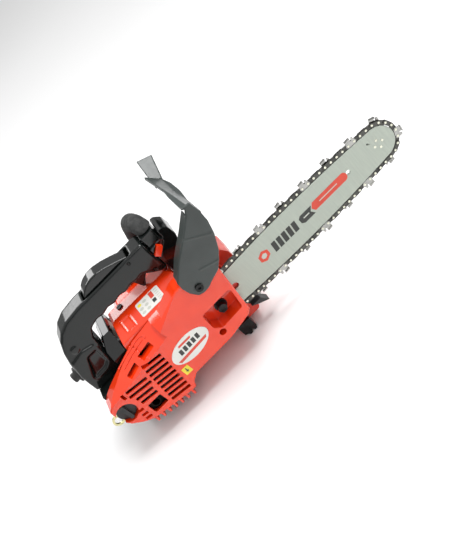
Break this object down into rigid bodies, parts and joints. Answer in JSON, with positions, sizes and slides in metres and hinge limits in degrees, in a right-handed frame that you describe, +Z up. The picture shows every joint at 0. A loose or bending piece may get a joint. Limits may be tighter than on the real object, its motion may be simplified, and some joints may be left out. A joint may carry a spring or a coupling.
{
  "type": "top-handle chainsaw",
  "caption": "Small petrol top-handle chainsaw with guide bar, saw chain, clutch cover, padded front handle, hand guard, trigger, filler caps and pull-start grip.",
  "frame": {"origin": "on the ground plane, straight under the crankshaft axis, on the middle plane of the engine and of the top handle", "axes": "+X runs forward along the guide bar, +Y is the saw's left, +Z is up"},
  "size_m": [0.526, 0.172, 0.2292],
  "materials": {
    "bar_steel": "satin",
    "chain_dark": "satin",
    "chain_chrome": "gloss",
    "rivet_steel": "satin",
    "case_metal": "satin",
    "red_case": "satin",
    "muffler_steel": "matte",
    "dark_steel": "satin",
    "zinc": "satin",
    "zinc_yellow": "satin",
    "red_plastic": "gloss",
    "dark_plastic": "satin",
    "black_gloss": "gloss",
    "black_plastic": "satin",
    "label_white": "gloss",
    "black_rubber": "matte",
    "foam": "matte",
    "filter_felt": "matte"
  },
  "bodies": {
    "saw": {"guide_bar": "bar_steel", "nose_hub": "bar_steel", "chain_drive_links": "chain_dark", "chain_tie_straps": "chain_dark", "chain_cutters": "chain_chrome", "chain_rivets": "rivet_steel", "crankcase_right": "red_case", "crankcase_left": "red_case", "main_bearings": "bar_steel", "crankshaft": "bar_steel", "connecting_rod": "bar_steel", "piston": "case_metal", "cylinder": "case_metal", "spark_plug": "bar_steel", "ignition_coil": "black_plastic", "intake_boot": "black_rubber", "carburettor": "case_metal", "air_filter": "filter_felt", "air_filter_cover": "black_gloss", "filter_knob": "black_plastic", "muffler": "muffler_steel", "brake_band": "bar_steel", "oil_pump": "black_plastic", "clutch_cover": "red_plastic", "bar_stud": "bar_steel", "bar_nut": "dark_steel", "chain_catcher": "case_metal", "bumper_spike": "dark_steel", "label_plates": "label_white", "top_cover": "red_plastic", "fuel_tank": "dark_plastic", "lanyard_ring": "zinc_yellow", "handle_body": "dark_plastic", "handle_pins": "dark_steel", "switch_housing": "black_gloss", "handle_clamp": "dark_plastic", "front_handle_tube": "dark_steel", "foam_grip": "foam", "vibration_mounts": "black_rubber", "starter_housing": "red_plastic", "recoil_spring": "bar_steel", "casing_screws": "dark_steel"},
    "chain_brake_guard": {"hand_guard": "dark_plastic"},
    "throttle_trigger_body": {"throttle_trigger": "black_gloss"},
    "throttle_lock_body": {"throttle_lock": "black_gloss"},
    "stop_switch_body": {"stop_switch": "red_plastic"},
    "choke": {"choke_knob": "black_plastic"},
    "starter_handle": {"starter_grip": "black_plastic"},
    "pulley": {"rope_pulley": "black_plastic"},
    "flywheel_rotor": {"flywheel": "case_metal"},
    "clutch": {"clutch_hub": "bar_steel", "clutch_shoes": "bar_steel", "clutch_spring": "bar_steel"},
    "drum": {"clutch_drum": "bar_steel", "rim_sprocket": "bar_steel", "needle_bearing": "bar_steel"},
    "nose_wheel": {"nose_sprocket": "bar_steel"},
    "fuel_filler_cap": {"fuel_cap": "black_plastic"},
    "oil_filler_cap": {"oil_cap": "black_plastic"},
    "tensioner": {"tension_screw": "zinc"}
  },
  "joints": [
    {"name": "chain_brake", "type": "hinge", "parent": "saw", "child": "chain_brake_guard", "pos_m": [0.066, -0.068, 0.133], "axis": [0, 1, 0], "range_deg": [0, 22]},
    {"name": "throttle", "type": "hinge", "parent": "saw", "child": "throttle_trigger_body", "pos_m": [0.04, 0, 0.1605], "axis": [0, 1, 0], "range_deg": [0, 15], "stiffness_Nm_per_rad": 0.3, "springref_deg": -17.19},
    {"name": "throttle_lockout", "type": "hinge", "parent": "saw", "child": "throttle_lock_body", "pos_m": [0.024, 0, 0.193], "axis": [0, 1, 0], "range_deg": [-9, 0], "stiffness_Nm_per_rad": 0.3, "springref_deg": 11.46},
    {"name": "stop_switch_slide", "type": "slide", "parent": "saw", "child": "stop_switch_body", "axis": [0.788, 0, 0.6157], "range_m": [0, 0.005]},
    {"name": "choke_pull", "type": "slide", "parent": "saw", "child": "choke", "axis": [-1, 0, 0], "range_m": [0, 0.008]},
    {"name": "starter_pull", "type": "slide", "parent": "saw", "child": "starter_handle", "axis": [0, 0, 1], "range_m": [0, 0.55], "stiffness_N_per_m": 15, "springref_m": -0.3},
    {"name": "pulley_spin", "type": "hinge", "parent": "saw", "child": "pulley", "pos_m": [0, 0.05, 0.075], "axis": [0, 1, 0], "range_deg": [0, 1710]},
    {"name": "flywheel_spin", "type": "hinge", "parent": "saw", "child": "flywheel_rotor", "pos_m": [0, 0.03, 0.075], "axis": [0, 1, 0], "continuous": true},
    {"name": "clutch_spin", "type": "hinge", "parent": "saw", "child": "clutch", "pos_m": [0, -0.05, 0.075], "axis": [0, 1, 0], "continuous": true},
    {"name": "drum_spin", "type": "hinge", "parent": "saw", "child": "drum", "pos_m": [0, -0.04, 0.075], "axis": [0, 1, 0], "continuous": true},
    {"name": "nose_spin", "type": "hinge", "parent": "saw", "child": "nose_wheel", "pos_m": [0.34, -0.036, 0.075], "axis": [0, 1, 0], "continuous": true},
    {"name": "fuel_cap_turn", "type": "hinge", "parent": "saw", "child": "fuel_filler_cap", "pos_m": [-0.115, -0.064, 0.071], "axis": [0, -1, 0], "range_deg": [0, 340]},
    {"name": "oil_cap_turn", "type": "hinge", "parent": "saw", "child": "oil_filler_cap", "pos_m": [0.066, 0.024, 0.034], "axis": [0, 1, 0], "range_deg": [0, 340]},
    {"name": "chain_tension", "type": "hinge", "parent": "saw", "child": "tensioner", "pos_m": [0.09, -0.028, 0.057], "axis": [1, 0, 0], "continuous": true}
  ],
  "couplings": [
    {"joint": "pulley_spin", "follows": "starter_pull", "rad_per_m": 54},
    {"joint": "clutch_spin", "follows": "flywheel_spin", "ratio": 1},
    {"joint": "nose_spin", "follows": "drum_spin", "ratio": 0.77778}
  ]
}
